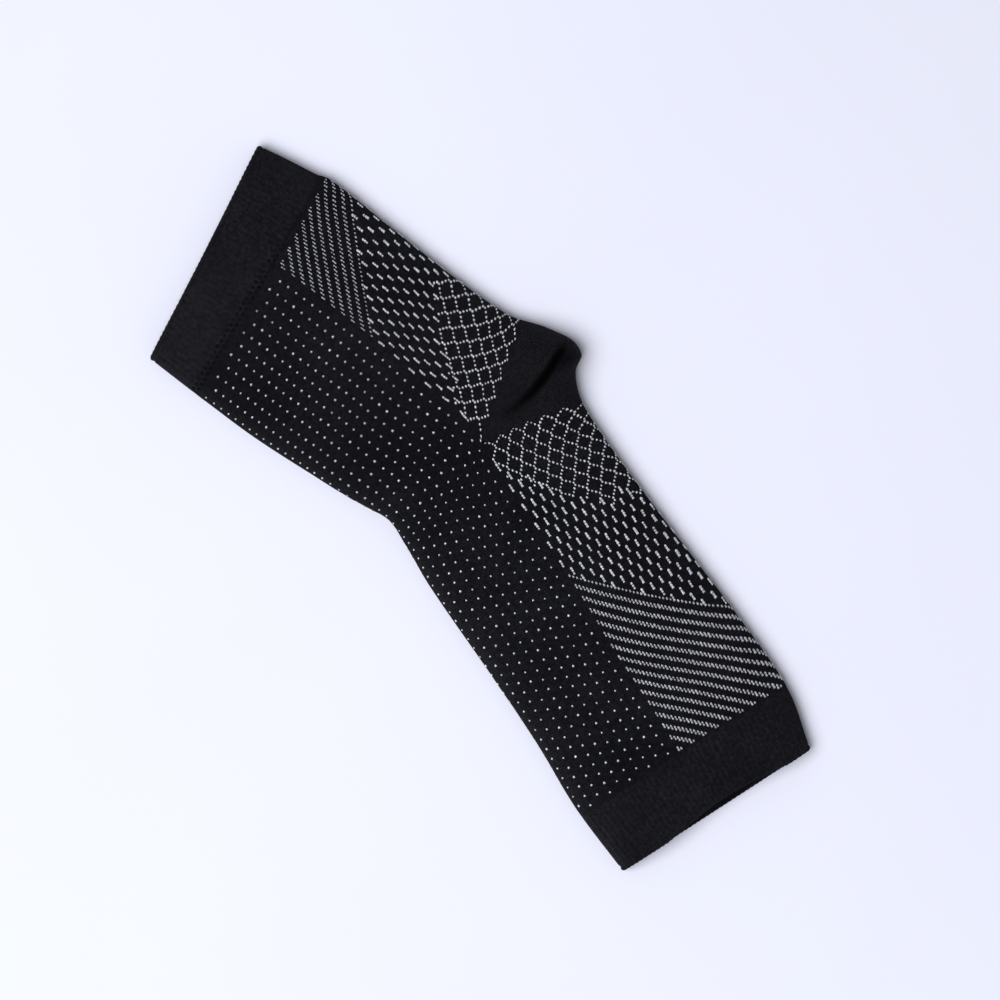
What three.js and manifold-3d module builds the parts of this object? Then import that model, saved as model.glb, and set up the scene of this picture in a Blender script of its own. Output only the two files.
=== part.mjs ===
// An open-toe ankle brace sock, lying flat on its side.
// Millimetres, +Z up. +X runs from the leg cuff to the open toe end, +Y points to the heel.
// The origin is the middle of the outline, on the surface that the sock lies on.

import * as THREE from "three";
import { mergeVertices } from "three/addons/utils/BufferGeometryUtils.js";
import Module from "manifold-3d";

// Driving dimensions
const KNIT_WALL = 1.3;
const CUFF_WALL = 1.8;
const PIECE_GAP = 0.3;
const UNDER_FOLD_RUN = 7;
const UPPER_FOLD_RUN = 14;
const RIB_COUNT = 80;
const RIB_DEPTH = 0.3;
const MOUTH_DRAW = 2.2;
const MOUTH_DRAW_FROM = 0.34;
const MOUTH_DRAW_TO = 0.76;

// Sections across the tube: the fold at the instep side (front), the fold at the heel side (back),
// the height of the upper layer (crown) and the height at which the folds turn (edge).
const SECTION_COLUMNS = ["frontX", "frontY", "backX", "backY", "crown", "edge"];
const SECTION_ROWS = {
  legEnd: [-107.9, -47.1, -132.4, 26.4, 9.2, 3.4],
  legBand: [-98.0, -45.8, -122.4, 30.0, 9.3, 3.4],
  legSeam: [-87.9, -44.4, -112.4, 33.3, 9.4, 3.4],
  sleeveTop: [-84.0, -43.8, -108.2, 35.1, 9.4, 3.4],
  calf: [-67.4, -41.2, -84.4, 38.1, 9.6, 3.5],
  shin: [-45.4, -36.4, -56.4, 41.7, 9.8, 3.6],
  ankle: [-29.4, -32.5, -36.4, 45.5, 10.0, 3.9],
  heelLeg: [-22.9, -30.5, -24.9, 51.3, 10.2, 4.4],
  heelTop: [-16.0, -28.7, -14.8, 54.5, 10.4, 4.8],
  heelTip: [-12.4, -29.1, -10.6, 53.3, 10.4, 4.8],
  heelNotch: [-9.4, -29.9, -8.3, 48.4, 10.2, 4.4],
  heelFoot: [-4.4, -31.1, 0.7, 42.6, 10.0, 3.9],
  instep: [7.7, -34.2, 16.0, 39.3, 9.8, 3.6],
  arch: [37.7, -39.5, 47.7, 34.7, 9.6, 3.5],
  ball: [67.7, -45.1, 83.7, 30.2, 9.4, 3.4],
  footSeam: [94.2, -51.4, 112.2, 25.3, 9.4, 3.4],
  footEnd: [117.9, -54.5, 132.4, 16.4, 9.2, 3.4],
};

// The heel pocket in plan: a gore that widens from its tip to the heel fold
const GORE_TIP = new THREE.Vector2(-13.5, 11);
const GORE_LEG_SIDE = new THREE.Vector2(-33.4, 45.1);
const GORE_FOOT_SIDE = new THREE.Vector2(0.2, 42.4);
const GORE_REACH = 2;

// The pocket stands up in two lobes. A bowed crease parts them and fades towards the gore tip:
// steep on its leg side, gentle on its foot side.
const LOBE_RISE = 4.5;
const LOBE_LEG_WIDTH = 24;
const LOBE_FOOT_WIDTH = 19;
const LOBE_FROM_Y = 6;
const LOBE_TO_Y = 38;
const CREASE_DEPTH = 6.5;
const CREASE_X = -14.6;
const CREASE_BOW = 1.6;
const CREASE_LEG_WIDTH = 7;
const CREASE_FOOT_WIDTH = 13;
const CREASE_FROM_Y = 20;
const CREASE_TO_Y = 50;

// How finely the walls are divided
const LAYER_STOPS = [
  0, 0.025, 0.05, 0.08, 0.12, 0.17, 0.24, 0.32, 0.4, 0.5, 0.58, 0.66, 0.73, 0.79, 0.84, 0.89, 0.93, 0.97,
];
const CUFF_STEPS = 2;
const LIP_STEPS = 3;
const SLEEVE_STEPS = { legSeam: 1, sleeveTop: 2, calf: 2, shin: 2, ankle: 4, heelLeg: 5, heelTop: 3,
  heelTip: 2, heelNotch: 4, heelFoot: 4, instep: 3, arch: 3, ball: 2 };

const wasm = await Module();
wasm.setup();

// Section table, read by station: the distance along the middle of the tube
const sectionNames = Object.keys(SECTION_ROWS);
const rows = Object.values(SECTION_ROWS);
const stations = middleStations();
const footAxis = axisBetween("footSeam", "footEnd");
const section = Object.fromEntries(
  SECTION_COLUMNS.map((name, place) => [name, smoothColumn(rows.map((row) => row[place]))]),
);

function middleOf([frontX, frontY, backX, backY]) {
  return new THREE.Vector2((frontX + backX) / 2, (frontY + backY) / 2);
}

function axisBetween(fromName, toName) {
  return middleOf(SECTION_ROWS[toName]).sub(middleOf(SECTION_ROWS[fromName])).normalize();
}

function middleStations() {
  const middles = rows.map(middleOf);
  const distances = [0];
  for (let k = 1; k < middles.length; k += 1) {
    distances.push(distances[k - 1] + middles[k].distanceTo(middles[k - 1]));
  }
  return distances;
}

function stationOf(name) {
  return stations[sectionNames.indexOf(name)];
}

// A cubic through one column that makes no bumps of its own between the rows
function smoothColumn(values) {
  const last = values.length - 1;
  const runs = stations.slice(1).map((end, k) => end - stations[k]);
  const grades = runs.map((run, k) => (values[k + 1] - values[k]) / run);
  const slopes = values.map((_, k) => {
    if (k === 0) return grades[0];
    if (k === last) return grades[last - 1];
    const before = grades[k - 1];
    const after = grades[k];
    return before * after > 0 ? (2 * before * after) / (before + after) : 0;
  });
  return (station) => {
    const next = stations.findIndex((end, k) => k > 0 && end > station);
    const place = next < 0 ? last - 1 : next - 1;
    const run = runs[place];
    const x = (station - stations[place]) / run;
    const rise = values[place + 1] - values[place];
    const start = slopes[place] * run;
    const end = slopes[place + 1] * run;
    return values[place] + x * (start + x * (3 * rise - 2 * start - end + x * (start + end - 2 * rise)));
  };
}

// Height that the heel pocket adds to the upper layer at a place in plan
function heelRise(x, y) {
  const along = THREE.MathUtils.clamp((y - CREASE_FROM_Y) / (CREASE_TO_Y - CREASE_FROM_Y), 0, 1);
  const across = x - CREASE_X - CREASE_BOW * Math.sin(Math.PI * along);
  const lobeWidth = across < 0 ? LOBE_LEG_WIDTH : LOBE_FOOT_WIDTH;
  const creaseWidth = across < 0 ? CREASE_LEG_WIDTH : CREASE_FOOT_WIDTH;
  const lobe = 1 - THREE.MathUtils.smoothstep(Math.abs(across), 0, lobeWidth);
  const crease = (1 - Math.min(Math.abs(across) / creaseWidth, 1)) ** 2;
  const lobeFade = THREE.MathUtils.smoothstep(y, LOBE_FROM_Y, LOBE_TO_Y);
  const creaseFade = THREE.MathUtils.smoothstep(along, 0, 1);
  return LOBE_RISE * lobe * lobeFade - CREASE_DEPTH * crease * creaseFade;
}

// How far the upper layer of the open toe end is drawn back, so that the lower one shows past it
function mouthDraw(station, across) {
  const along = THREE.MathUtils.smoothstep(station, stationOf("footSeam"), stationOf("footEnd"));
  const span = MOUTH_DRAW_TO - MOUTH_DRAW_FROM;
  const inside = THREE.MathUtils.clamp((across - MOUTH_DRAW_FROM) / span, 0, 1);
  return MOUTH_DRAW * along * Math.sin(Math.PI * inside) ** 2;
}

// A point of the wall. girth runs 0 to 0.5 along the lower layer from front to back, then 0.5 to 1
// along the upper layer back to the front. inset is the depth below the outer face.
function wallPoint(station, girth, inset) {
  const front = new THREE.Vector2(section.frontX(station), section.frontY(station));
  const back = new THREE.Vector2(section.backX(station), section.backY(station));
  const width = front.distanceTo(back);
  const upper = girth >= 0.5;
  const edge = section.edge(station);
  const foldRun = upper ? UPPER_FOLD_RUN : UNDER_FOLD_RUN;
  const foldHeight = upper ? section.crown(station) - edge : edge;
  const foldArc = (Math.PI / 4) * (foldRun + foldHeight);
  const layerLength = width - 2 * foldRun + 2 * foldArc;
  const share = upper ? 2 - 2 * girth : 2 * girth;
  const fromFront = share * layerLength;
  const fromEdge = Math.min(fromFront, layerLength - fromFront);
  const turn = Math.min(fromEdge / foldArc, 1) * (Math.PI / 2);
  const depth = inset + (foldRun - inset) * (1 - Math.cos(turn)) + Math.max(fromEdge - foldArc, 0);
  const across = (share < 0.5 ? depth : width - depth) / width;
  const place = front.lerp(back, across);
  const lift = (foldHeight - inset) * Math.sin(turn);
  if (!upper) {
    return [place.x, place.y, edge - lift];
  }
  const height = edge + lift + heelRise(place.x, place.y) * Math.sin(turn);
  place.addScaledVector(footAxis, -mouthDraw(station, across));
  return [place.x, place.y, height];
}

// A closed wall: a profile loop of station and inset, carried along every place on the girth
function wallGeometry(profile, girths, insetAt) {
  const positions = [];
  const index = [];
  const count = girths.length;
  profile.forEach((stop, row) => {
    girths.forEach((girth, place) => {
      positions.push(...wallPoint(stop.station, girth, insetAt(stop, place)));
      const nextRow = ((row + 1) % profile.length) * count;
      const nextPlace = (place + 1) % count;
      const here = row * count + place;
      const beside = row * count + nextPlace;
      index.push(here, beside, nextRow + place);
      index.push(beside, nextRow + nextPlace, nextRow + place);
    });
  });
  const geometry = new THREE.BufferGeometry();
  geometry.setAttribute("position", new THREE.Float32BufferAttribute(positions, 3));
  geometry.setIndex(index);
  return geometry;
}

function evenStops(from, to, steps) {
  return Array.from({ length: steps + 1 }, (_, k) => from + ((to - from) * k) / steps);
}

// Profile of a cuff: square where it meets the sleeve, and a half-round turned edge at its open end
function cuffProfile(seam, end) {
  const radius = CUFF_WALL / 2;
  const inward = Math.sign(seam - end);
  const lipStart = end + inward * radius;
  const outer = evenStops(seam, lipStart, CUFF_STEPS).map((station) => ({ station, inset: 0, outer: true }));
  const lip = evenStops(0, Math.PI, LIP_STEPS).slice(1, -1).map((turn) => ({
    station: lipStart - inward * radius * Math.sin(turn),
    inset: radius * (1 - Math.cos(turn)),
    outer: false,
  }));
  const inner = evenStops(lipStart, seam, CUFF_STEPS).map((station) => ({
    station, inset: CUFF_WALL, outer: false,
  }));
  const profile = [...outer, ...lip, ...inner];
  return end > seam ? profile : profile.reverse();
}

function cuffGeometry(seamName, endName) {
  const seam = stationOf(seamName);
  const end = stationOf(endName);
  const seamSide = seam + (Math.sign(end - seam) * PIECE_GAP) / 2;
  const girths = evenStops(0, 1, 2 * RIB_COUNT).slice(0, -1);
  const ribbed = (stop, place) => stop.inset + (stop.outer && place % 2 === 1 ? RIB_DEPTH : 0);
  return wallGeometry(cuffProfile(seamSide, end), girths, ribbed);
}

// The knit tube from cuff to cuff, before the heel pocket is parted from it
function tubeGeometry() {
  const stops = [];
  for (const [name, steps] of Object.entries(SLEEVE_STEPS)) {
    const next = sectionNames[sectionNames.indexOf(name) + 1];
    stops.push(...evenStops(stationOf(name), stationOf(next), steps).slice(0, -1));
  }
  stops[0] += PIECE_GAP / 2;
  stops.push(stationOf("footSeam") - PIECE_GAP / 2);
  const outer = stops.map((station) => ({ station, inset: 0 }));
  const inner = stops.map((station) => ({ station, inset: KNIT_WALL })).reverse();
  const under = LAYER_STOPS.map((share) => share / 2);
  const over = LAYER_STOPS.map((share) => 0.5 + share / 2);
  return wallGeometry([...outer, ...inner], [...under, ...over], (stop) => stop.inset);
}

// An upright prism over the gore, its sides moved out by grow
function gorePrism(grow) {
  const legWay = GORE_LEG_SIDE.clone().sub(GORE_TIP);
  const footWay = GORE_FOOT_SIDE.clone().sub(GORE_TIP);
  const legOut = new THREE.Vector2(-legWay.y, legWay.x).normalize();
  const footOut = new THREE.Vector2(footWay.y, -footWay.x).normalize();
  const tipWay = legOut.clone().add(footOut);
  const tip = GORE_TIP.clone().addScaledVector(tipWay, grow / (1 + legOut.dot(footOut)));
  const legFar = GORE_TIP.clone().addScaledVector(legWay, GORE_REACH).addScaledVector(legOut, grow);
  const footFar = GORE_TIP.clone().addScaledVector(footWay, GORE_REACH).addScaledVector(footOut, grow);
  const top = 3 * SECTION_ROWS.heelTop[SECTION_COLUMNS.indexOf("crown")];
  const prism = new THREE.ExtrudeGeometry(new THREE.Shape([tip, footFar, legFar]), {
    depth: 2 * top, bevelEnabled: false, steps: 1,
  });
  return prism.translate(0, 0, -top);
}

function toSolid(geometry) {
  const bare = geometry.clone();
  bare.deleteAttribute("normal");
  bare.deleteAttribute("uv");
  const merged = mergeVertices(bare);
  const vertProperties = new Float32Array(merged.attributes.position.array);
  const triVerts = new Uint32Array(merged.index.array);
  return new wasm.Manifold(new wasm.Mesh({ numProp: 3, vertProperties, triVerts }));
}

function toGeometry(solid) {
  const { vertProperties, triVerts } = solid.getMesh();
  const geometry = new THREE.BufferGeometry();
  geometry.setAttribute("position", new THREE.BufferAttribute(vertProperties, 3));
  geometry.setIndex(new THREE.BufferAttribute(triVerts, 1));
  geometry.computeVertexNormals();
  return geometry;
}

function addPiece(group, name, geometry, colour, roughness) {
  const material = new THREE.MeshStandardMaterial({ color: colour, roughness, metalness: 0 });
  const mesh = new THREE.Mesh(geometry, material);
  mesh.name = name;
  group.add(mesh);
}

const sock = new THREE.Group();
const tube = toSolid(tubeGeometry());
const sleeve = tube.subtract(toSolid(gorePrism(PIECE_GAP / 2)));
const heelPocket = tube.intersect(toSolid(gorePrism(-PIECE_GAP / 2)));
addPiece(sock, "leg_cuff", cuffGeometry("legSeam", "legEnd"), 0x17171a, 0.9);
addPiece(sock, "sleeve", toGeometry(sleeve), 0x1a1a1e, 0.95);
addPiece(sock, "heel_pocket", toGeometry(heelPocket), 0x151518, 0.92);
addPiece(sock, "foot_cuff", cuffGeometry("footSeam", "footEnd"), 0x17171a, 0.9);

export default sock;
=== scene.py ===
# Ankle brace sock: an open-toe knit sleeve with a light stitch pattern, lying flat on its side
import math

import bpy
import numpy as np
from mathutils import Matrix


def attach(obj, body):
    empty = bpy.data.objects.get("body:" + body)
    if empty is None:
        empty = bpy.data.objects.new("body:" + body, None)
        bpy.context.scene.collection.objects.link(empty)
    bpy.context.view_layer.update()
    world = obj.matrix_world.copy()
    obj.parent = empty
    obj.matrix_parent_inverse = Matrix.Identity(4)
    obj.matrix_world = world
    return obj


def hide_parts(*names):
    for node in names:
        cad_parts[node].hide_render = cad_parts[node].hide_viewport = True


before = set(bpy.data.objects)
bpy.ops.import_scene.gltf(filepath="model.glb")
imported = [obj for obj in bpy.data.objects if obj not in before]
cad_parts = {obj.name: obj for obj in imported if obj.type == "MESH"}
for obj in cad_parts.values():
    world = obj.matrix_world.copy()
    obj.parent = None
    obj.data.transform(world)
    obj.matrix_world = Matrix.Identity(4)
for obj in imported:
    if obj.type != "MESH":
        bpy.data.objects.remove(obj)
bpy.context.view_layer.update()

# Lengths in the tables and functions below are millimetres, and meshes are scaled to metres when made
MM = 0.001

# Walls and folds of the flattened tube
KNIT_WALL = 1.3
CUFF_WALL = 1.8
SEAM_GAP = 0.02
UNDER_FOLD_RUN = 7.0
UPPER_FOLD_RUN = 14.0
FOLD_FLATNESS = 0.43

# Sections of the tube: its two edges in plan, the height of its crown and the height of its edges
SECTION_COLUMNS = ("front_x", "front_y", "back_x", "back_y", "crown", "edge")
SECTIONS = {
    "leg_end": (-107.9, -47.1, -132.4, 26.4, 9.2, 3.4),
    "leg_band": (-98.0, -45.8, -122.4, 30.0, 9.3, 3.4),
    "leg_seam": (-87.9, -44.4, -112.4, 33.3, 9.4, 3.4),
    "sleeve_top": (-84.0, -43.8, -108.2, 35.1, 9.4, 3.4),
    "calf": (-67.4, -41.2, -84.4, 38.1, 9.6, 3.5),
    "shin": (-45.4, -36.4, -56.4, 41.7, 9.8, 3.6),
    "ankle": (-29.4, -32.5, -36.4, 45.5, 10.0, 3.9),
    "heel_leg": (-22.9, -30.5, -24.9, 51.3, 10.2, 4.4),
    "heel_top": (-16.0, -28.7, -14.8, 54.5, 10.4, 4.8),
    "heel_tip": (-12.4, -29.1, -10.6, 53.3, 10.4, 4.8),
    "heel_notch": (-9.4, -29.9, -8.3, 48.4, 10.2, 4.4),
    "heel_foot": (-4.4, -31.1, 0.7, 42.6, 10.0, 3.9),
    "instep": (7.7, -34.2, 16.0, 39.3, 9.8, 3.6),
    "arch": (37.7, -39.5, 47.7, 34.7, 9.6, 3.5),
    "ball": (67.7, -45.1, 83.7, 30.2, 9.4, 3.4),
    "foot_seam": (94.2, -51.4, 112.2, 25.3, 9.4, 3.4),
    "foot_end": (117.9, -54.5, 132.4, 16.4, 9.2, 3.4),
}

# Heel pocket: a soft lobe with a crease across it
LOBE_RISE = 4.5
LOBE_LEG_WIDTH = 24.0
LOBE_FOOT_WIDTH = 19.0
LOBE_FROM_Y = 6.0
LOBE_TO_Y = 38.0
CREASE_DEPTH = 9.5
CREASE_ROLL_WIDTH = 5.0
CREASE_ROLL_SHARE = 0.3
CREASE_SLOT = (0.3, 2.2)
# Painted shade that darkens the knit's colour in and beside the crease: its widths, its spread beside
# the outer end, and the turns over which it fades out below the upper layer
CREASE_SHADE_WIDTHS = (0.6, 2.9)
CREASE_SHADE_SPREAD = 4.0
CREASE_SHADE_SPREAD_Y = (41.0, 50.0)
CREASE_SHADE_TURNS = (-0.05, 0.0)
CREASE_LINE = {
    20: -14.8, 24: -13.7, 28: -13.0, 33: -12.8, 38: -13.3, 43: -14.1, 47: -15.2, 50: -15.6, 53: -15.7,
}
CREASE_DEPTHS = {20: 0.0, 25: 0.3, 33: 0.85, 40: 1.0, 48: 1.0, 53: 0.0}

# Open ends: how far the upper layer is drawn back, and where across the toe's mouth
MOUTH_DRAW = 2.2
MOUTH_DRAW_FROM = 0.24
MOUTH_DRAW_TO = 0.88
LEG_MOUTH_DRAW = 0.4

# The knit: wales run along the sock and are counted from the middle of the heel, courses run round it
WALES = 176
LAYER_WALES = 88
GORE_WALE = 44
LEG_SEAM_COURSE = -106
FOOT_SEAM_COURSE = 131
WALE_STEP = 0.5
# How far off course 0 the two edges of the gore lie
GORE_SIDE = 0.001

# Where the courses lie: station at the instep, share of the upper layer behind the gore's wale,
# and the wales at the front fold and at the back fold
COURSE_COLUMNS = ("station", "middle", "front", "back")
COURSES = {
    -106: (21.2, 0.410, 93.6, 7.5),
    -78: (43.3, 0.406, 93.9, 7.7),
    -51: (64.6, 0.412, 93.8, 6.6),
    -35: (77.2, 0.430, 93.3, 5.0),
    -19: (91.6, 0.455, 91.5, 4.9),
    -3: (107.3, 0.510, 88.7, 5.0),
    13: (124.4, 0.478, 90.8, 0.2),
    29: (139.4, 0.475, 89.8, 0.1),
    61: (168.2, 0.491, 88.8, -0.9),
    93: (196.8, 0.520, 87.2, -2.4),
    131: (230.3, 0.525, 85.9, -2.6),
}
# How far the courses are pushed along the tube at the back by the heel pocket, pulled between the back
# and the gore's wale, and pushed at the front fold
LEG_PUSH = {
    -106: 0.5, -90: -2.8, -66: -5.1, -45: -6.8, -28: -7.9, -20: -9.0, -12: -11.7, -4: -15.7, 0: -18.5,
}
FOOT_PUSH = {
    0: 13.4, 6: 10.5, 18: 6.5, 30: 4.8, 42: 4.1, 58: 2.7, 72: 1.0, 85: -0.5, 105: -0.9, 131: -0.3,
}
LEG_PULL = {-106: 0.0, -66: -0.5, -40: 0.0, -25: -0.1, -14: -0.4, -6: -0.9, 0: -1.2}
FOOT_PULL = {0: 0.0, 30: 0.2, 42: 0.4, 58: 0.7, 85: 1.2, 105: 0.7, 115: 0.2, 131: 0.0}
FRONT_PUSH = {
    -106: -2.6, -90: -1.1, -78: -0.1, -40: 0.0, -26: 0.5, -14: 2.6, -3: 2.1, 8: -0.1,
    18: -0.5, 42: -1.4, 60: -1.6, 78: -0.7, 96: 0.5, 114: 1.5, 131: 1.6,
}
PULL_PEAK = 2.6
# The wales at the back fold are drawn over it
BACK_DRAW = 1.3
BACK_DRAW_WALES = (-16.0, -2.0, 3.0, 9.0)
# Beside the gore the wales lean towards its tips
GORE_LEAN = 1.9
GORE_LEAN_COURSES = 4.5
GORE_LEAN_WALES = (8.0, 22.0, 43.0, 53.0)

# Relief of the knit, as heights over the outer face of the wall
UNDER_PRESS = 0.24
UNDER_PRESS_TURN = 0.08
WALE_RIDGE = 0.07
RIB_RIDGE = 0.11
SEAM_TUCK = 0.06
SEAM_TUCK_RUN = 0.9
PINHOLE_DEPTH = 0.5
PINHOLE_STEP = 0.42
PINHOLE_COURSES = 0.97
PINHOLE_WALES = (18.0, 52.0)
WELT_WIDTH = 1.7
WELT_RISE = 0.22
WELT_GROOVE = 0.18
WELT_GROOVE_WIDTH = 0.45
SCALLOP = 0.16


class Curve:
    """A cubic through rows of places and values that makes no bumps of its own between the rows."""

    def __init__(self, places, values):
        self.places = np.array(list(places), float)
        self.values = np.array(list(values), float)
        self.runs = np.diff(self.places)
        grades = np.diff(self.values) / self.runs
        before = grades[:-1]
        after = grades[1:]
        same_way = before * after > 0
        mean = 2 * before * after / np.where(same_way, before + after, 1.0)
        self.slopes = np.concatenate((grades[:1], np.where(same_way, mean, 0.0), grades[-1:]))

    def __call__(self, place):
        row = np.clip(np.searchsorted(self.places, place, side="right") - 1, 0, len(self.runs) - 1)
        run = self.runs[row]
        x = (place - self.places[row]) / run
        rise = self.values[row + 1] - self.values[row]
        start = self.slopes[row] * run
        end = self.slopes[row + 1] * run
        bend = 3 * rise - 2 * start - end
        twist = start + end - 2 * rise
        return self.values[row] + x * (start + x * (bend + x * twist))


def table_curve(table):
    return Curve(table.keys(), table.values())


def smoothstep(value, low, high):
    share = np.clip((value - low) / (high - low), 0.0, 1.0)
    return share * share * (3 - 2 * share)


def plateau(value, stops):
    """0 before the first stop and after the last, 1 between the second and the third."""
    rise_from, full_from, full_to, fall_to = stops
    return smoothstep(value, rise_from, full_from) * (1 - smoothstep(value, full_to, fall_to))


def centred(value, spacing):
    """Distance from the nearest multiple of the spacing, with its sign."""
    return np.mod(value + spacing / 2, spacing) - spacing / 2


# The surface of the tube

def section_middles():
    table = np.array(list(SECTIONS.values()))
    return (table[:, 0:2] + table[:, 2:4]) / 2


middles = section_middles()
steps = np.hypot(*np.diff(middles, axis=0).T)
stations = dict(zip(SECTIONS, np.concatenate(((0.0,), np.cumsum(steps)))))
section = {
    name: Curve(stations.values(), [row[place] for row in SECTIONS.values()])
    for place, name in enumerate(SECTION_COLUMNS)
}
leg_axis = (middles[1] - middles[0]) / steps[0]
foot_axis = (middles[-1] - middles[-2]) / steps[-1]
crease_line = table_curve(CREASE_LINE)
crease_depth = table_curve(CREASE_DEPTHS)

# Leans of the folds' curve, and the shares of its length at which they come
fold_leans = np.linspace(0.0, math.pi / 2, 181)
fold_paces = np.hypot(np.sin(fold_leans), FOLD_FLATNESS * np.cos(fold_leans))
fold_shares = np.concatenate(((0.0,), np.cumsum(fold_paces[1:] + fold_paces[:-1])))
fold_shares = fold_shares / fold_shares[-1]


def from_crease(x, y):
    """Distance of a place in plan from the middle of the heel's crease, below 0 towards the leg."""
    return x - crease_line(np.clip(y, min(CREASE_LINE), max(CREASE_LINE)))


def crease_share(y):
    """Share of the crease's full depth along its length."""
    return crease_depth(np.clip(y, min(CREASE_DEPTHS), max(CREASE_DEPTHS)))


def heel_rise(x, y):
    """Height that the heel pocket adds to the upper layer at a place in plan."""
    across = from_crease(x, y)
    lobe_width = np.where(across < 0, LOBE_LEG_WIDTH, LOBE_FOOT_WIDTH)
    lobe = 1 - smoothstep(np.abs(across), 0.0, lobe_width)
    roll = 1 - np.minimum(np.abs(across) / CREASE_ROLL_WIDTH, 1.0)
    slot = 1 - smoothstep(np.abs(across), *CREASE_SLOT)
    sunk = CREASE_ROLL_SHARE * (1 - np.sqrt(1 - roll ** 2)) + (1 - CREASE_ROLL_SHARE) * slot
    lobe_fade = smoothstep(y, LOBE_FROM_Y, LOBE_TO_Y)
    return LOBE_RISE * lobe * lobe_fade - CREASE_DEPTH * crease_share(y) * sunk


def painted_crease_shade(x, y):
    """Painted shade for the heel's crease: 1 in its depth, wider beside its outer end, 0 away from it.
    """
    across = from_crease(x, y)
    full, faded = CREASE_SHADE_WIDTHS
    spread = CREASE_SHADE_SPREAD * smoothstep(y, *CREASE_SHADE_SPREAD_Y) * (across > 0)
    return crease_share(y) * (1 - smoothstep(np.abs(across), full, faded + spread))


def mouth_draw(station, across):
    """How far the upper layer is drawn back at the open ends, as moves in plan."""
    to_toe = smoothstep(station, stations["foot_seam"], stations["foot_end"])
    to_leg_end = 1 - smoothstep(station, stations["leg_end"], stations["leg_seam"])
    inside = np.clip((across - MOUTH_DRAW_FROM) / (MOUTH_DRAW_TO - MOUTH_DRAW_FROM), 0.0, 1.0)
    toe_draw = MOUTH_DRAW * to_toe * np.sin(np.pi * inside)
    leg_draw = LEG_MOUTH_DRAW * to_leg_end * np.sin(np.pi * np.clip(across, 0.0, 1.0))
    return leg_axis * leg_draw[..., None] - foot_axis * toe_draw[..., None]


def wall_point(station, turn, inset):
    """Points of the wall. turn is 0 at the back fold, 1 at the front fold over the top, -1 under it."""
    turn = np.mod(turn + 1, 2) - 1
    front = np.stack((section["front_x"](station), section["front_y"](station)), axis=-1)
    back = np.stack((section["back_x"](station), section["back_y"](station)), axis=-1)
    width = np.linalg.norm(back - front, axis=-1)
    upper = turn >= 0
    edge = section["edge"](station)
    fold_run = np.where(upper, UPPER_FOLD_RUN, UNDER_FOLD_RUN)
    fold_height = np.where(upper, section["crown"](station) - edge, edge)
    fold_arc = math.pi / 4 * (fold_run + fold_height)
    layer_length = width - 2 * fold_run + 2 * fold_arc
    from_back = np.abs(turn) * layer_length
    from_edge = np.minimum(from_back, layer_length - from_back)
    lean = np.interp(from_edge / fold_arc, fold_shares, fold_leans)
    depth = inset + (fold_run - inset) * (1 - np.cos(lean)) + np.maximum(from_edge - fold_arc, 0.0)
    across = np.where(np.abs(turn) > 0.5, depth, width - depth) / width
    plan = front + (back - front) * across[..., None]
    lift = (fold_height - inset) * np.sin(lean)
    rise = heel_rise(plan[..., 0], plan[..., 1]) * np.sin(lean)
    height = np.where(upper, edge + lift + rise, edge - lift)
    plan = plan + np.where(upper[..., None], mouth_draw(station, across), 0.0)
    return np.concatenate((plan, height[..., None]), axis=-1)


def floor_press(turn):
    """How far the face that lies on the floor is pressed in."""
    turn = np.mod(turn + 1, 2) - 1
    from_back = smoothstep(-turn, 0.0, UNDER_PRESS_TURN)
    from_front = smoothstep(1 + turn, 0.0, UNDER_PRESS_TURN)
    return UNDER_PRESS * from_back * from_front


def raised_point(station, turn, height):
    """Points at a height over the outer face, along the face's own direction."""
    step = 0.01
    turn_step = 0.0005
    along = wall_point(station + step, turn, 0.0) - wall_point(station - step, turn, 0.0)
    round_it = wall_point(station, turn + turn_step, 0.0) - wall_point(station, turn - turn_step, 0.0)
    out = np.cross(round_it, along)
    out = out / np.linalg.norm(out, axis=-1, keepdims=True)
    lifted = height - floor_press(turn)
    return wall_point(station, turn, 0.0) + out * lifted[..., None]


# The knit chart: from a wale and a course to a place on the tube

course_line = {
    name: Curve(COURSES.keys(), [row[place] for row in COURSES.values()])
    for place, name in enumerate(COURSE_COLUMNS)
}
leg_push = table_curve(LEG_PUSH)
foot_push = table_curve(FOOT_PUSH)
leg_pull = table_curve(LEG_PULL)
foot_pull = table_curve(FOOT_PULL)
front_push = table_curve(FRONT_PUSH)


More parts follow.
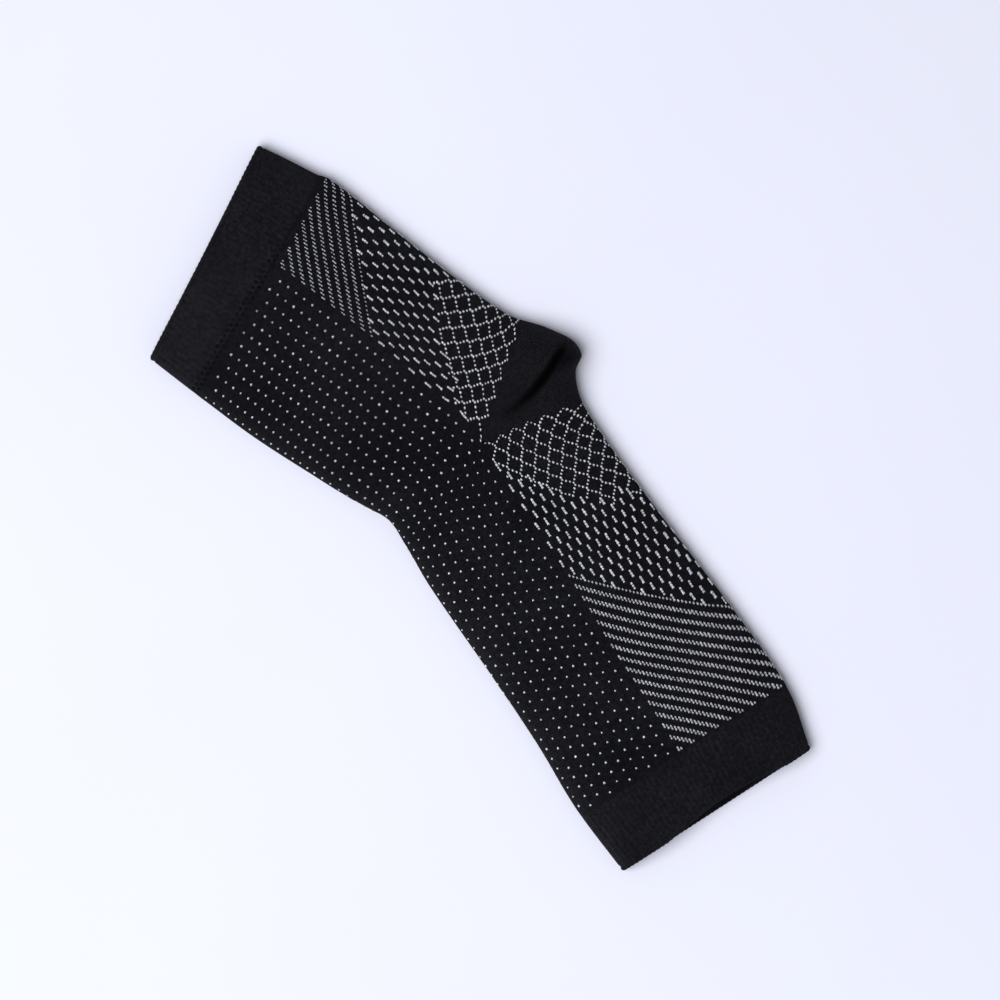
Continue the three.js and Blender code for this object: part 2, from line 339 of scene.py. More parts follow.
def chart_place(wale, course):
    """Station and turn of a point of the chart."""
    wale, course = np.broadcast_arrays(np.asarray(wale, float), np.asarray(course, float))
    middle = course_line["middle"](course)
    front_fold = course_line["front"](course)
    back_fold = course_line["back"](course)
    wale = np.where(wale > front_fold, wale - WALES, wale)
    wale = np.where(wale < front_fold - WALES, wale + WALES, wale)
    wale = wale - BACK_DRAW * plateau(wale - back_fold, BACK_DRAW_WALES)
    upper = wale >= back_fold

    leaning = plateau(np.abs(wale), GORE_LEAN_WALES)
    lean = np.sign(wale) * GORE_LEAN * np.exp(-np.abs(course) / GORE_LEAN_COURSES) * leaning
    before_gore = middle + (1 - middle) * (wale + lean - GORE_WALE) / (front_fold - GORE_WALE)
    behind_gore = middle * (wale + lean - back_fold) / (GORE_WALE - back_fold)
    over = np.where(wale + lean >= GORE_WALE, before_gore, behind_gore)
    under = (back_fold - wale - lean) / (WALES + back_fold - front_fold)
    turn = np.where(upper, over, -under)

    from_heel = np.where(upper, wale, np.abs(wale))
    to_back = np.clip((GORE_WALE - from_heel) / (GORE_WALE - back_fold), 0.0, 1.0)
    front_wale = np.where(upper, front_fold, WALES - front_fold)
    to_front = np.clip((np.abs(wale) - GORE_WALE) / (front_wale - GORE_WALE), 0.0, 1.0)
    between = PULL_PEAK * np.sqrt(to_back) * (1 - to_back)
    leg_shift = to_back * leg_push(course) + between * leg_pull(course)
    foot_shift = to_back * foot_push(course) + between * foot_pull(course)
    shift = np.where(course < 0, leg_shift, foot_shift) + to_front * front_push(course)
    return course_line["station"](course) + shift, turn


def on_chart(wale, course, height):
    station, turn = chart_place(wale, course)
    return raised_point(station, turn, np.broadcast_to(height, station.shape))


# Meshes

SHARP_ANGLE = math.radians(55)


def grid_quads(grid):
    """The corners of every cell of a grid, in order round the cell."""
    corners = (grid[:-1, :-1], grid[:-1, 1:], grid[1:, 1:], grid[1:, :-1])
    return np.stack(corners, axis=2).reshape(-1, 4, *grid.shape[2:])


class Knit:
    """Gathers the points and faces of one mesh, with each corner's wale and course."""

    def __init__(self):
        self.points = []
        self.faces = []
        self.corners = []
        self.count = 0

    def add_points(self, points):
        numbers = np.arange(self.count, self.count + points[..., 0].size).reshape(points.shape[:-1])
        self.points.append(points.reshape(-1, 3))
        self.count += numbers.size
        return numbers

    def add_grid(self, numbers, wale, course):
        """Quads between neighbouring rows and columns of a grid of point numbers."""
        wale, course = np.broadcast_arrays(wale, course)
        self.faces.append(grid_quads(numbers))
        self.corners.append(grid_quads(np.stack((wale, course), axis=-1)))

    def build(self, name, material):
        mesh = bpy.data.meshes.new(name)
        points = np.concatenate(self.points) * MM
        faces = np.concatenate(self.faces)
        mesh.from_pydata(points.tolist(), [], faces.tolist())
        layer = mesh.uv_layers.new(name="KnitChart")
        layer.data.foreach_set("uv", np.concatenate(self.corners).astype(np.float32).ravel())
        piece = add_piece(name, mesh, material)
        mesh.set_sharp_from_angle(angle=SHARP_ANGLE)
        return piece


def add_piece(name, mesh, material):
    mesh.polygons.foreach_set("use_smooth", np.ones(len(mesh.polygons), bool))
    mesh.materials.append(material)
    mesh.validate()
    piece = bpy.data.objects.new(name, mesh)
    bpy.context.scene.collection.objects.link(piece)
    return piece


def closed(row):
    """A grid with its first column repeated at its end."""
    return np.concatenate((row, row[:, :1]), axis=1)


half_wales = np.arange(-LAYER_WALES, LAYER_WALES, WALE_STEP)
round_wales = np.append(half_wales, LAYER_WALES)[None, :]


# Sleeve: the tube from cuff to cuff, open along the two edges of the heel gore

SLEEVE_ROW = 2.0
SLEEVE_FIRST_ROW = 3.0
LEG_INNER_ROWS = 15
FOOT_INNER_ROWS = 18


def pinhole_depth(wale):
    """Depth of the pinholes along the leg seam, none at the back."""
    return PINHOLE_DEPTH * smoothstep(np.abs(wale), *PINHOLE_WALES)


def wale_relief(wale, course):
    """Height of the sleeve's face: ridges along the wales, tucked-in ends and a row of pinholes."""
    ridge = WALE_RIDGE * np.cos(2 * np.pi * wale)
    from_end = np.minimum(course - LEG_SEAM_COURSE, FOOT_SEAM_COURSE - course)
    tuck = SEAM_TUCK * (1 - smoothstep(from_end, 0.0, SEAM_TUCK_RUN))
    at_hole = (np.mod(wale, 2) == 0) & (course == LEG_SEAM_COURSE + PINHOLE_COURSES)
    return ridge - tuck - pinhole_depth(wale) * at_hole - WALE_RIDGE


def make_sleeve(material):
    knit = Knit()
    pinhole_rows = LEG_SEAM_COURSE + PINHOLE_COURSES * np.array((0.0, 0.5, 1.0, 1.5, 2.0))
    plain_leg_rows = np.arange(LEG_SEAM_COURSE + SLEEVE_FIRST_ROW, 0.0, SLEEVE_ROW)
    plain_foot_rows = np.arange(SLEEVE_ROW, FOOT_SEAM_COURSE, SLEEVE_ROW)
    leg_rows = np.concatenate((pinhole_rows, plain_leg_rows, (-GORE_SIDE,)))
    foot_rows = np.concatenate(((GORE_SIDE,), plain_foot_rows, (FOOT_SEAM_COURSE,)))
    leg_inner = np.linspace(LEG_SEAM_COURSE, -GORE_SIDE, LEG_INNER_ROWS)
    foot_inner = np.linspace(GORE_SIDE, FOOT_SEAM_COURSE, FOOT_INNER_ROWS)

    def outer_points(rows):
        wale, course = np.meshgrid(half_wales, rows)
        return on_chart(wale, course, wale_relief(wale, course))

    def inner_points(rows):
        wale, course = np.meshgrid(half_wales, rows)
        station, turn = chart_place(wale, course)
        return wall_point(station, turn, KNIT_WALL)

    leg_out = closed(knit.add_points(outer_points(leg_rows)))
    leg_in = closed(knit.add_points(inner_points(leg_inner)))
    foot_out = closed(knit.add_points(outer_points(foot_rows)))
    foot_in = closed(knit.add_points(inner_points(foot_inner)))

    # Past the gore's tips the leg and the foot are one tube
    joined = np.abs(round_wales[0]) >= GORE_WALE
    foot_out[0, joined] = leg_out[-1, joined]
    foot_in[0, joined] = leg_in[-1, joined]
    knit.add_grid(leg_out, round_wales, leg_rows[:, None])
    knit.add_grid(foot_out, round_wales, foot_rows[:, None])
    knit.add_grid(leg_in[::-1], round_wales, leg_inner[::-1, None])
    knit.add_grid(foot_in[::-1], round_wales, foot_inner[::-1, None])

    def add_rim(first, second, wale, course):
        rim = np.stack((first, second))
        knit.add_grid(rim, wale[None, :], np.full((2, 1), float(course)))

    gore = np.abs(round_wales[0]) <= GORE_WALE
    gore_wales = round_wales[0, gore]
    add_rim(leg_in[0], leg_out[0], round_wales[0], LEG_SEAM_COURSE)
    add_rim(foot_out[-1], foot_in[-1], round_wales[0], FOOT_SEAM_COURSE)
    add_rim(leg_out[-1, gore], leg_in[-1, gore], gore_wales, 0)
    add_rim(foot_in[0, gore], foot_out[0, gore], gore_wales, 0)
    return knit.build("sleeve_knit", material)


# Heel pocket: a plain knit gore between the two edges of the sleeve

HEEL_HALF_WALES = 43.0
HEEL_COURSES = 38.0
HEEL_ROWS = 150
HEEL_RIDGE = 0.045
HEEL_EDGE_RUN = 2.5


def make_heel(material):
    knit = Knit()
    wales = np.arange(-HEEL_HALF_WALES, HEEL_HALF_WALES + WALE_STEP / 2, WALE_STEP)
    share = np.linspace(0.0, 1.0, HEEL_ROWS)[:, None]
    leg_edge, leg_turn = chart_place(wales, -GORE_SIDE)
    foot_edge, foot_turn = chart_place(wales, GORE_SIDE)
    width = foot_edge - leg_edge
    station = leg_edge + SEAM_GAP + share * (width - 2 * SEAM_GAP)
    turn = leg_turn + share * (foot_turn - leg_turn)
    course = (share - 0.5) * HEEL_COURSES * width / width.max()
    from_edge = np.minimum(share, 1 - share) * width
    ridge = WALE_RIDGE + (HEEL_RIDGE - WALE_RIDGE) * smoothstep(from_edge, 0.0, HEEL_EDGE_RUN)
    relief = ridge * (np.cos(2 * np.pi * wales) - 1)
    outer_points = raised_point(station, turn, relief)
    inner_points = wall_point(station, turn, KNIT_WALL)
    outer = knit.add_points(outer_points)
    inner = knit.add_points(inner_points)
    wale = np.broadcast_to(wales, station.shape)
    knit.add_grid(outer, wale, course)
    knit.add_grid(inner[::-1], wale[::-1], course[::-1])
    for first, second, row in ((inner, outer, 0), (outer, inner, -1)):
        knit.add_grid(np.stack((first[row], second[row])), wale[[row, row]], course[[row, row]])
    for first, second, column in ((outer, inner, 0), (inner, outer, -1)):
        rim = np.stack((first[:, column], second[:, column]))
        knit.add_grid(rim, wale[:, [column, column]].T, course[:, [column, column]].T)
    piece = knit.build("heel_knit", material)
    # Painted crease shade, kept off the under layer, stored on the points for the heel's material
    points = np.concatenate((outer_points, inner_points)).reshape(-1, 3)
    on_top = smoothstep(np.concatenate((turn, turn)).ravel(), *CREASE_SHADE_TURNS)
    shade = painted_crease_shade(points[:, 0], points[:, 1]) * on_top
    layer = piece.data.attributes.new("PaintedCreaseShade", "FLOAT", "POINT")
    layer.data.foreach_set("value", shade.astype(np.float32))
    return piece


# Cuffs: fine-ribbed bands with a turned edge

CUFF_ROW = 1.0
CUFF_COURSE = 0.85
CUFF_INNER_ROWS = 9
WELT_ROW = 0.3
WELT_ZONE = 3.0
WELT_RIB_SHARE = 0.35
LIP_STEPS = 7
SEAM_ROWS = 5
PINHOLE_ROW = 3


def cuff_relief(wale, from_end, from_seam, holes):
    """Height of a cuff's face: ribs, the turned welt at its edge, the groove behind it and the seam."""
    past_welt = smoothstep(from_end, WELT_WIDTH, WELT_ZONE)
    rib = RIB_RIDGE * np.cos(np.pi * wale) * (WELT_RIB_SHARE + (1 - WELT_RIB_SHARE) * past_welt)
    welt = WELT_RISE * np.sin(np.pi * np.clip(from_end / WELT_WIDTH, 0.0, 1.0))
    groove = WELT_GROOVE * np.exp(-((from_end - WELT_WIDTH) / WELT_GROOVE_WIDTH) ** 2)
    by_seam = 1 - smoothstep(from_seam, 0.0, SEAM_TUCK_RUN)
    band = rib + welt - groove - RIB_RIDGE
    seam = WALE_RIDGE * (np.cos(2 * np.pi * wale) - 1) - SEAM_TUCK
    return band + (seam - band) * by_seam - pinhole_depth(wale) * holes * (np.mod(wale, 2) == 1)


def make_cuff(name, seam_course, end_name, material):
    knit = Knit()
    end = stations[end_name]
    seam, edge_turn = chart_place(half_wales, float(seam_course))
    inward = math.copysign(1.0, seam.mean() - end)
    radius = CUFF_WALL / 2
    length = np.abs(seam - end) - SEAM_GAP

    welt_rows = np.repeat(np.arange(radius, WELT_ZONE, WELT_ROW)[:, None], len(half_wales), axis=1)
    seam_rows = length - PINHOLE_STEP * np.arange(SEAM_ROWS)[::-1, None]
    band_share = np.arange(0, 1, CUFF_ROW / length.max())[:, None]
    band_rows = WELT_ZONE + band_share * (seam_rows[0] - WELT_ZONE)
    from_end = np.concatenate((welt_rows, band_rows, seam_rows))
    turn = np.broadcast_to(edge_turn, from_end.shape)
    hole_row = (np.arange(len(from_end)) == len(from_end) - PINHOLE_ROW)[:, None]
    relief = cuff_relief(half_wales[None, :], from_end, length - from_end, hole_row * (inward > 0))
    scallop = SCALLOP * (1 - np.cos(np.pi * half_wales)) / 2
    station = end + inward * (from_end + scallop * (1 - smoothstep(from_end, 0.0, WELT_ZONE)))
    outer = raised_point(station, turn, relief)

    lip_turn = np.linspace(0.0, math.pi, LIP_STEPS + 2)[1:-1, None]
    lip_from_end = radius * (1 - np.sin(lip_turn))
    lip_inset = radius * (1 - np.cos(lip_turn))
    lip_place = end + inward * (lip_from_end + scallop)
    lip_height = (relief[0] - floor_press(edge_turn)) * (0.5 + 0.5 * np.cos(lip_turn))
    lip = wall_point(lip_place, np.broadcast_to(edge_turn, lip_place.shape), lip_inset - lip_height)

    inner_from_end = np.linspace(np.full_like(length, radius), length, CUFF_INNER_ROWS)
    inner_place = end + inward * inner_from_end
    inner = wall_point(inner_place, np.broadcast_to(edge_turn, inner_place.shape), CUFF_WALL)

    loop = np.concatenate((outer[::-1], lip, inner))
    lip_run = np.broadcast_to(lip_from_end, lip_place.shape)
    run = np.concatenate((from_end[::-1], lip_run, inner_from_end))
    course = closed(seam_course - inward * (length - run) / CUFF_COURSE)
    numbers = closed(knit.add_points(loop))
    numbers = np.concatenate((numbers, numbers[:1]))
    course = np.concatenate((course, course[:1]))
    if inward > 0:
        numbers = numbers[::-1]
        course = course[::-1]
    knit.add_grid(numbers, round_wales, course)
    return knit.build(name, material)


# Light pattern: every stitch is a pair of raised yarn legs that meet in a V

LEG_FOOT = (0.07, -0.62)
LEG_HEAD = (0.30, 0.52)
LEG_HALF_WIDTH = 0.25
LEG_HALF_HEIGHT = 0.17
LEG_HEIGHT = 0.06
THIN_LEG_HEIGHT = 0.75
RING_CORNERS = 5
RING_FIRST_CORNER = 0.25
RING_STOPS = (0.2, 0.7)
STITCH_STRAY = 0.06
STITCH_SIZES = (0.83, 1.14)

stray = np.random.default_rng(11)


def spindle():
    """One yarn leg as wale, course and height offsets, and its triangles."""
    foot = np.array((*LEG_FOOT, 0.0))
    head = np.array((*LEG_HEAD, 0.0))
    corner = 2 * np.pi * (np.arange(RING_CORNERS) + RING_FIRST_CORNER) / RING_CORNERS
    ring_wale = LEG_HALF_WIDTH * np.cos(corner)
    ring_height = LEG_HALF_HEIGHT * np.sin(corner)
    ring = np.stack((ring_wale, np.zeros_like(corner), ring_height), axis=-1)
    rings = [foot + (head - foot) * stop + ring for stop in RING_STOPS]
    points = np.concatenate((foot[None], *rings, head[None]))
    points[:, 2] += LEG_HEIGHT
    faces = []
    last = len(points) - 1
    for k in range(RING_CORNERS):
        low = 1 + k
        low_next = 1 + (k + 1) % RING_CORNERS
        high = low + RING_CORNERS
        high_next = low_next + RING_CORNERS
        faces += [(0, low_next, low), (low, low_next, high_next)]
        faces += [(low, high_next, high), (high, high_next, last)]
    return points, np.array(faces)


def make_stitches(name, places, leg_size, foot_size, material):
    """Joins a stitch at each place into one mesh. Sizes are shares of a stitch's width and length."""
    leg, leg_faces = spindle()
    mirrored = leg * (-1.0, 1.0, 1.0)
    stitch = np.concatenate((leg, mirrored))
    faces = np.concatenate((leg_faces, leg_faces[:, ::-1] + len(leg)))
    on_leg = places[:, 1:] < 0
    spread = stray.uniform(*STITCH_SIZES, (len(places), 1))
    size = (np.where(on_leg, leg_size, foot_size) * spread)[:, None, :]
    middle = places + stray.uniform(-STITCH_STRAY, STITCH_STRAY, places.shape)
    spots = middle[:, None, :] + stitch[None, :, :2] * size
    beside_gore = np.maximum(spots[..., 1] * np.where(on_leg, -1, 1), GORE_SIDE)
    spots[..., 1] = np.where(on_leg, -beside_gore, beside_gore)
    heights = stitch[:, 2] * (THIN_LEG_HEIGHT + (1 - THIN_LEG_HEIGHT) * size[..., 0])
    points = on_chart(spots[..., 0], spots[..., 1], heights).reshape(-1, 3) * MM
    first = np.arange(len(places))[:, None, None] * len(stitch)
    triangles = (faces[None] + first).reshape(-1, 3)
    mesh = bpy.data.meshes.new(name)
    mesh.from_pydata(points.tolist(), [], triangles.tolist())
    return add_piece(name, mesh, material)


# Chart of the light stitches: behind the gore's wale the rows run alike on leg and foot from the heel
DOT_FIRST_WALE = 47
DOT_LAST_WALE = 127
DOT_SPACING = 4
DOT_PHASES = (1, 3)
DOT_FIRST_COURSE = -101
DOT_LAST_COURSE = 129
BACK_LAST_WALE = 43
LATTICE_WALES = 6
LATTICE_COURSES = 8
LATTICE_CROSSING = 7.5
LATTICE_REACH = 56
LATTICE_ENDS = {7: 43, 8: 34, 12: 39, 13: 60}
DASH_SPACING = 8
DASH_CENTRES = (18, 14)
DASH_FIRST_REACH = {0: 47, 13: 54, 22: 56, 29: 53}
DASH_LAST_REACH = 97
DOTTED_LINE_REACH = 98
STRIPE_FIRST_REACH = 102
STRIPE_SPACING = 5
STRIPE_WIDTH = 2
STRIPE_END_MARGIN = 4


def pattern_places():
    """Wales and courses of the light stitches, by motif."""
    all_wales = np.arange(-LAYER_WALES, LAYER_WALES)
    all_courses = np.arange(LEG_SEAM_COURSE, FOOT_SEAM_COURSE)
    wale, course = np.meshgrid(all_wales, all_courses)
    from_heel = np.abs(wale)
    from_gore = np.where(course >= 0, course, -1 - course)
    reach = from_heel + from_gore
    back = from_heel <= BACK_LAST_WALE

    round_wale = np.mod(wale, WALES)
    dot_row = (round_wale - DOT_FIRST_WALE) // DOT_SPACING
    dot_phase = np.where(dot_row % 2 == 0, *DOT_PHASES)
    dots = (round_wale >= DOT_FIRST_WALE) & (round_wale <= DOT_LAST_WALE)
    dots &= (round_wale - DOT_FIRST_WALE) % DOT_SPACING == 0
    dots &= (course - dot_phase) % DOT_SPACING == 0
    dots &= (course >= DOT_FIRST_COURSE) & (course <= DOT_LAST_COURSE)

    from_crossing = np.abs(centred(from_heel - BACK_LAST_WALE, LATTICE_WALES))
    to_line = np.abs(centred(from_gore - LATTICE_CROSSING, LATTICE_COURSES))
    lattice = back & (to_line == from_crossing + 0.5)
    lattice_end = np.interp(from_heel, list(LATTICE_ENDS), list(LATTICE_ENDS.values()))
    lattice &= (reach <= LATTICE_REACH) & (from_gore <= lattice_end)
    lattice |= (from_heel == GORE_WALE) & (course == -1)

    dash_row = (BACK_LAST_WALE - from_heel) // 2
    dash_centre = np.where(dash_row % 2 == 0, *DASH_CENTRES)
    from_dash = centred(from_gore - dash_centre, DASH_SPACING)
    dash_reach = reach - from_dash
    dashes = back & (from_heel % 2 == 1) & (np.abs(from_dash) <= 1)
    dash_zone = np.searchsorted(list(DASH_FIRST_REACH), from_heel, side="right") - 1
    first_reach = np.array(list(DASH_FIRST_REACH.values()))[dash_zone]
    dashes &= (dash_reach >= first_reach) & (dash_reach <= DASH_LAST_REACH)

    in_sleeve = (course >= LEG_SEAM_COURSE + STRIPE_END_MARGIN) & (course < FOOT_SEAM_COURSE)
    past_first = reach - STRIPE_FIRST_REACH
    stripes = (past_first >= 0) & (past_first % STRIPE_SPACING < STRIPE_WIDTH)
    stripes = back & in_sleeve & (stripes | (reach == DOTTED_LINE_REACH))

    motifs = {"dots": dots, "lattice": lattice, "dashes": dashes, "stripes": stripes}
    return {name: np.stack((wale[mask], course[mask]), axis=-1) for name, mask in motifs.items()}


# Materials

FIBRE_SCALE = 5200.0
KNIT_FIBRE_RELIEF = 0.00006
YARN_FIBRE_RELIEF = 0.00005
TUFT_SCALE = 900.0
TUFT_SHADES = (0.4, 1.15)
PATCH_SCALE = 38.0
PATCH_SHADES = (0.35, 0.65)
STITCH_LEAN = 0.6
STITCH_FULLNESS = 0.6
# Painted shade between the stitches and painted light on their crests, as factors of the knit's colour
STITCH_PAINTED_SHADES = (0.07, 1.5)
ROUGHNESS_SPREAD = 0.08
# How far the painted crease shade darkens the knit
CREASE_PAINTED_DIM = 0.75
# Painted shade in the pinholes along the leg seam: noise scale, uneven strengths, sharpness of the rows
# and the deepest dimming
PINHOLE_SCALE = 260.0
PINHOLE_STRENGTHS = (0.2, 2.0)
PINHOLE_SHARPNESS = 1.1
PINHOLE_PAINTED_DIM = 0.75
FLOOR_GRAIN_SCALE = 420.0
FLOOR_GRAIN_RELIEF = 0.00002
FLOOR_PATCH_SCALE = 6.0
FLOOR_DARK = (0.825, 0.83, 0.89)
FLOOR_LIGHT = (0.845, 0.85, 0.91)
KNIT_DARK = (0.0008, 0.0008, 0.0014)
KNIT_LIGHT = (0.0236, 0.0236, 0.0285)
RIB_LIGHT = (0.0316, 0.0316, 0.0378)


class Nodes:
    """Short ways to add nodes to a material."""

    def __init__(self, name):
        self.material = bpy.data.materials.new(name)
        self.material.use_nodes = True
        self.tree = self.material.node_tree
        self.shader = self.tree.nodes["Principled BSDF"]

    def add(self, kind, **settings):
        node = self.tree.nodes.new(kind)
        for name, value in settings.items():
            setattr(node, name, value)
        return node

    def put(self, socket, value):
        if isinstance(value, bpy.types.NodeSocket):
            self.tree.links.new(value, socket)
        else:
            socket.default_value = value

    def math(self, operation, first, second=0.0):
        node = self.add("ShaderNodeMath", operation=operation)
        self.put(node.inputs[0], first)
        self.put(node.inputs[1], second)
        return node.outputs[0]

    def noise(self, scale, detail=3.0):
        node = self.add("ShaderNodeTexNoise")
        place = self.add("ShaderNodeTexCoord")
        self.put(node.inputs["Vector"], place.outputs["Object"])
        self.put(node.inputs["Scale"], scale)
        self.put(node.inputs["Detail"], detail)
        return node.outputs["Fac"]

    def ramp(self, factor, low, high):
        """Spreads the usual reach of a noise over the two values."""
        node = self.add("ShaderNodeMapRange")
        self.put(node.inputs["Value"], factor)
        self.put(node.inputs["From Min"], 0.3)
        self.put(node.inputs["From Max"], 0.7)
        self.put(node.inputs["To Min"], low)
        self.put(node.inputs["To Max"], high)
        return node.outputs["Result"]

    def tint(self, factor, dark, light):
        node = self.add("ShaderNodeMix", data_type="RGBA")
        self.put(node.inputs["Factor"], factor)
        self.put(node.inputs["A"], (*dark, 1.0))
        self.put(node.inputs["B"], (*light, 1.0))
        return node.outputs["Result"]

    def bump(self, height, distance, under=None):
        node = self.add("ShaderNodeBump")
        self.put(node.inputs["Height"], height)
        self.put(node.inputs["Distance"], distance)
        if under is not None:
            self.put(node.inputs["Normal"], under)
        return node.outputs["Normal"]

    def set(self, **values):
        for name, value in values.items():
            self.put(self.shader.inputs[name.replace("_", " ")], value)


def knit_chart(nodes):
    """The wale and the course at a point of a piece."""
    chart = nodes.add("ShaderNodeUVMap", uv_map="KnitChart")
    parts = nodes.add("ShaderNodeSeparateXYZ")
    nodes.put(parts.inputs[0], chart.outputs[0])
    return parts.outputs["X"], parts.outputs["Y"]


def stitch_height(nodes, wale, course):
    """Height of plain knit stitches: two legs a wale that lean together in a V."""
    across = nodes.math("FRACT", nodes.math("ADD", wale, 0.5))
    across = nodes.math("MULTIPLY", nodes.math("ABSOLUTE", nodes.math("SUBTRACT", across, 0.5)), 2.0)
    crest = nodes.math("SINE", nodes.math("MULTIPLY", across, math.pi))
    lean = nodes.math("SUBTRACT", course, nodes.math("MULTIPLY", across, STITCH_LEAN))
    along = nodes.math("SINE", nodes.math("MULTIPLY", nodes.math("FRACT", lean), math.pi))
    return nodes.math("MULTIPLY", crest, nodes.math("POWER", along, STITCH_FULLNESS))


def painted_pinhole_shade(nodes, rib_crest, wale, course):
    """Painted shade in the two staggered rows of pinholes along the leg seam: low there, fainter at the
    back, 1 elsewhere.
    """
    from_seam = nodes.math("SUBTRACT", course, float(LEG_SEAM_COURSE))
    in_line = nodes.math("MULTIPLY", rib_crest, nodes.math("SIGN", from_seam))
    to_row = nodes.math("SUBTRACT", nodes.math("ABSOLUTE", from_seam), PINHOLE_COURSES)
    off_row = nodes.math("ABSOLUTE", nodes.math("MULTIPLY", to_row, PINHOLE_SHARPNESS))
    in_row = nodes.math("MAXIMUM", nodes.math("SUBTRACT", 1.0, off_row), 0.0)
    hole = nodes.math("MULTIPLY", nodes.math("MAXIMUM", in_line, 0.0), in_row)
    from_heel = nodes.math("SUBTRACT", nodes.math("ABSOLUTE", wale), PINHOLE_WALES[0])
    from_heel = nodes.math("DIVIDE", from_heel, PINHOLE_WALES[1] - PINHOLE_WALES[0])
    from_heel = nodes.math("MAXIMUM", nodes.math("MINIMUM", from_heel, 1.0), 0.0)
    uneven = nodes.ramp(nodes.noise(PINHOLE_SCALE, 1.0), *PINHOLE_STRENGTHS)
    dimming = nodes.math("MULTIPLY", hole, nodes.math("MULTIPLY", uneven, from_heel))
    return nodes.math("SUBTRACT", 1.0, nodes.math("MINIMUM", dimming, PINHOLE_PAINTED_DIM))


def knit_material(name, light, roughness, stitch_relief, rib_shade=0.0):
    nodes = Nodes(name)
    wale, course = knit_chart(nodes)
    stitches = stitch_height(nodes, wale, course)
    rib_crest = nodes.math("COSINE", nodes.math("MULTIPLY", wale, math.pi))
    # Painted shade in the rib valleys, lighter on the rib crests
    ribs = nodes.math("ADD", nodes.math("MULTIPLY", rib_crest, rib_shade), 1.0)
    # Painted shade in the pinholes
    holes = painted_pinhole_shade(nodes, rib_crest, wale, course)
    # Painted shade along the heel's crease, read from the point attribute
    crease = nodes.add("ShaderNodeAttribute", attribute_name="PaintedCreaseShade").outputs["Fac"]
    out_of_crease = nodes.math("SUBTRACT", 1.0, nodes.math("MULTIPLY", crease, CREASE_PAINTED_DIM))
    # What is left after the painted shade of the pinholes and the crease; it also dims specular and
    # sheen
    lit = nodes.math("MULTIPLY", holes, out_of_crease)
    patches = nodes.ramp(nodes.noise(PATCH_SCALE), *PATCH_SHADES)
    tuft = nodes.noise(TUFT_SCALE, 2.0)
    shade = nodes.math("MULTIPLY", nodes.ramp(tuft, *TUFT_SHADES), patches)
    # Random tone of tufts and patches, times the painted rib, pinhole and crease shade
    shade = nodes.math("MULTIPLY", nodes.math("MULTIPLY", shade, ribs), lit)
    # Painted shade in the gaps between stitches and painted light on their crests, from the stitch
    # relief
    between_stitches, on_stitches = STITCH_PAINTED_SHADES
    faces = nodes.math("ADD", nodes.math("MULTIPLY", stitches, on_stitches), between_stitches)
    fibre = nodes.bump(nodes.noise(FIBRE_SCALE, 2.0), KNIT_FIBRE_RELIEF)
    nodes.set(
        Base_Color=nodes.tint(nodes.math("MULTIPLY", shade, faces), KNIT_DARK, light),
        Roughness=nodes.ramp(tuft, roughness - ROUGHNESS_SPREAD, roughness + ROUGHNESS_SPREAD),
        Specular_IOR_Level=nodes.math("MULTIPLY", lit, 0.02),
        Sheen_Weight=nodes.math("MULTIPLY", lit, 0.03),
        Sheen_Roughness=0.5,
        Normal=nodes.bump(stitches, stitch_relief, fibre),
    )
    return nodes.material


def yarn_material(name, dark, light):
    nodes = Nodes(name)
    tuft = nodes.noise(TUFT_SCALE, 3.0)
    nodes.set(
        Base_Color=nodes.tint(nodes.ramp(tuft, 0.0, 1.0), dark, light),
        Roughness=nodes.ramp(tuft, 0.62, 0.82),
        Specular_IOR_Level=0.3,
        Sheen_Weight=0.1,
        Sheen_Roughness=0.5,
        Normal=nodes.bump(nodes.noise(FIBRE_SCALE, 2.0), YARN_FIBRE_RELIEF),
    )
    return nodes.material


def floor_material():
    nodes = Nodes("pale_floor")
    grain = nodes.noise(FLOOR_GRAIN_SCALE, 4.0)
    patches = nodes.ramp(nodes.noise(FLOOR_PATCH_SCALE), 0.0, 1.0)
    nodes.set(
        Base_Color=nodes.tint(patches, FLOOR_DARK, FLOOR_LIGHT),
        Roughness=nodes.ramp(grain, 0.7, 0.8),
        Specular_IOR_Level=0.2,
        Normal=nodes.bump(grain, FLOOR_GRAIN_RELIEF),
    )
    return nodes.material


sleeve_black = knit_material("sleeve_black", KNIT_LIGHT, roughness=0.8, stitch_relief=0.00025)
heel_black = knit_material("heel_black", KNIT_LIGHT, roughness=0.8, stitch_relief=0.00015)
rib_black = knit_material("rib_black", RIB_LIGHT, roughness=0.82, stitch_relief=0.00018, rib_shade=0.09)
pattern_white = yarn_material("pattern_white", (0.37, 0.37, 0.38), (0.85, 0.85, 0.86))
pattern_grey = yarn_material("pattern_grey", (0.31, 0.31, 0.32), (0.63, 0.63, 0.64))

# Share of a stitch's width and length that shows on the leg and on the foot, and the yarn's finish
MOTIF_LOOKS = {
    "dots": ((0.78, 0.80), (0.76, 0.78), pattern_white),
    "lattice": ((0.76, 0.84), (0.74, 0.84), pattern_white),
    "dashes": ((0.78, 0.95), (0.96, 1.0), pattern_white),
    "stripes": ((0.44, 0.92), (0.69, 0.98), pattern_grey),
}

# Pieces
PIECES = (
    (make_cuff("leg_rib", LEG_SEAM_COURSE, "leg_end", rib_black), "leg_cuff", "rib_knit"),
    (make_sleeve(sleeve_black), "sleeve", "sleeve_knit"),
    (make_heel(heel_black), "heel_pocket", "heel_knit"),
    (make_cuff("foot_rib", FOOT_SEAM_COURSE, "foot_end", rib_black), "foot_cuff", "rib_knit"),
)
for piece, node, slot in PIECES:
    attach(piece, "root")
    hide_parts(node)
for motif, places in pattern_places().items():
    piece = make_stitches("pattern_" + motif, places, *MOTIF_LOOKS[motif])
    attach(piece, "root")


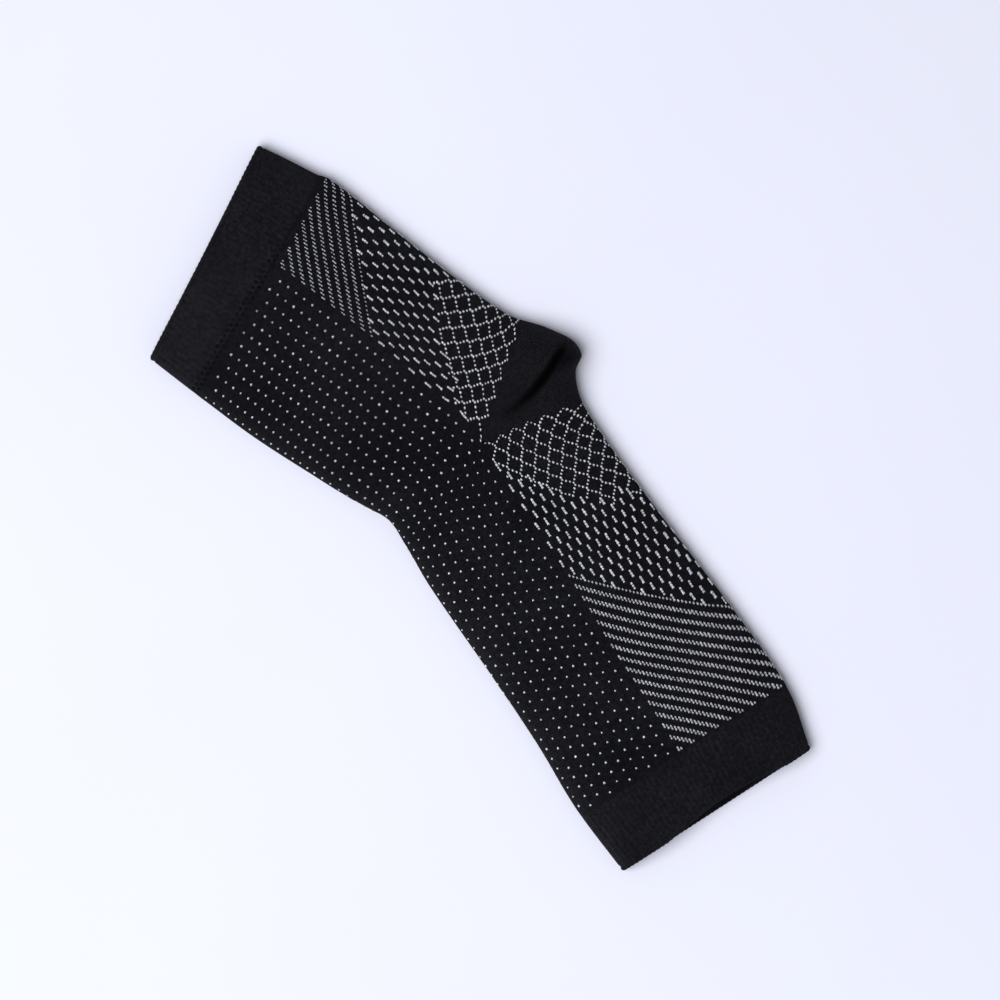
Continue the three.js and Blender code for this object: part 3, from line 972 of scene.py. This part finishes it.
# Floor, light and camera

IMAGE_TURN = math.radians(45.4)
VIEW_CENTRE = (4.35, 1.47)
VIEW_WIDTH = 323.4
OUTLINE_HEIGHT = 4.0
CAMERA_DISTANCE = 2400.0
FLOOR_REACH = 3000.0
FLOOR_CELLS = 24
SENSOR = 36.0
LIGHT_TINT = (0.905, 0.92, 1.0)
WORLD_STRENGTH = 0.32
KEY_PLACE = (-850, -450, 1820)
KEY_POWER = 47.4
KEY_SIZE = 1820
IMAGE_RIGHT = (math.cos(IMAGE_TURN), math.sin(IMAGE_TURN))
IMAGE_UP = (-math.sin(IMAGE_TURN), math.cos(IMAGE_TURN))


def make_floor():
    line = np.linspace(-FLOOR_REACH, FLOOR_REACH, FLOOR_CELLS + 1) * MM
    x, y = np.meshgrid(line, line)
    points = np.stack((x, y, np.zeros_like(x)), axis=-1)
    numbers = np.arange(x.size).reshape(x.shape)
    mesh = bpy.data.meshes.new("floor")
    mesh.from_pydata(points.reshape(-1, 3).tolist(), [], grid_quads(numbers).tolist())
    floor = add_piece("floor", mesh, floor_material())


def in_image(right, up, height):
    """A place given by its distances across and up the image from the middle of the view."""
    x = VIEW_CENTRE[0] + right * IMAGE_RIGHT[0] + up * IMAGE_UP[0]
    y = VIEW_CENTRE[1] + right * IMAGE_RIGHT[1] + up * IMAGE_UP[1]
    return np.array((x, y, height)) * MM


def add_light(name, place, power, size, colour):
    light = bpy.data.lights.new(name, "AREA")
    light.shape = "DISK"
    light.size = size * MM
    light.energy = power
    light.color = colour
    lamp = bpy.data.objects.new(name, light)
    lamp.location = place
    aim = in_image(0, 0, 0) - place
    distance = np.linalg.norm(aim)
    lamp.rotation_euler = (math.acos(-aim[2] / distance), 0.0, math.atan2(aim[1], aim[0]) - math.pi / 2)
    bpy.context.scene.collection.objects.link(lamp)


def make_camera():
    lens = bpy.data.cameras.new("camera")
    lens.sensor_width = SENSOR
    lens.lens = SENSOR * CAMERA_DISTANCE / VIEW_WIDTH
    camera = bpy.data.objects.new("camera", lens)
    camera.location = in_image(0, 0, OUTLINE_HEIGHT + CAMERA_DISTANCE)
    camera.rotation_euler = (0.0, 0.0, IMAGE_TURN)
    bpy.context.scene.collection.objects.link(camera)
    bpy.context.scene.camera = camera


def make_world():
    world = bpy.data.worlds.new("studio")
    world.use_nodes = True
    background = world.node_tree.nodes["Background"]
    background.inputs["Color"].default_value = (*LIGHT_TINT, 1.0)
    background.inputs["Strength"].default_value = WORLD_STRENGTH
    bpy.context.scene.world = world
    bpy.context.scene.view_settings.view_transform = "Standard"


make_floor()
make_world()
add_light("key", in_image(*KEY_PLACE), KEY_POWER, KEY_SIZE, LIGHT_TINT)
make_camera()
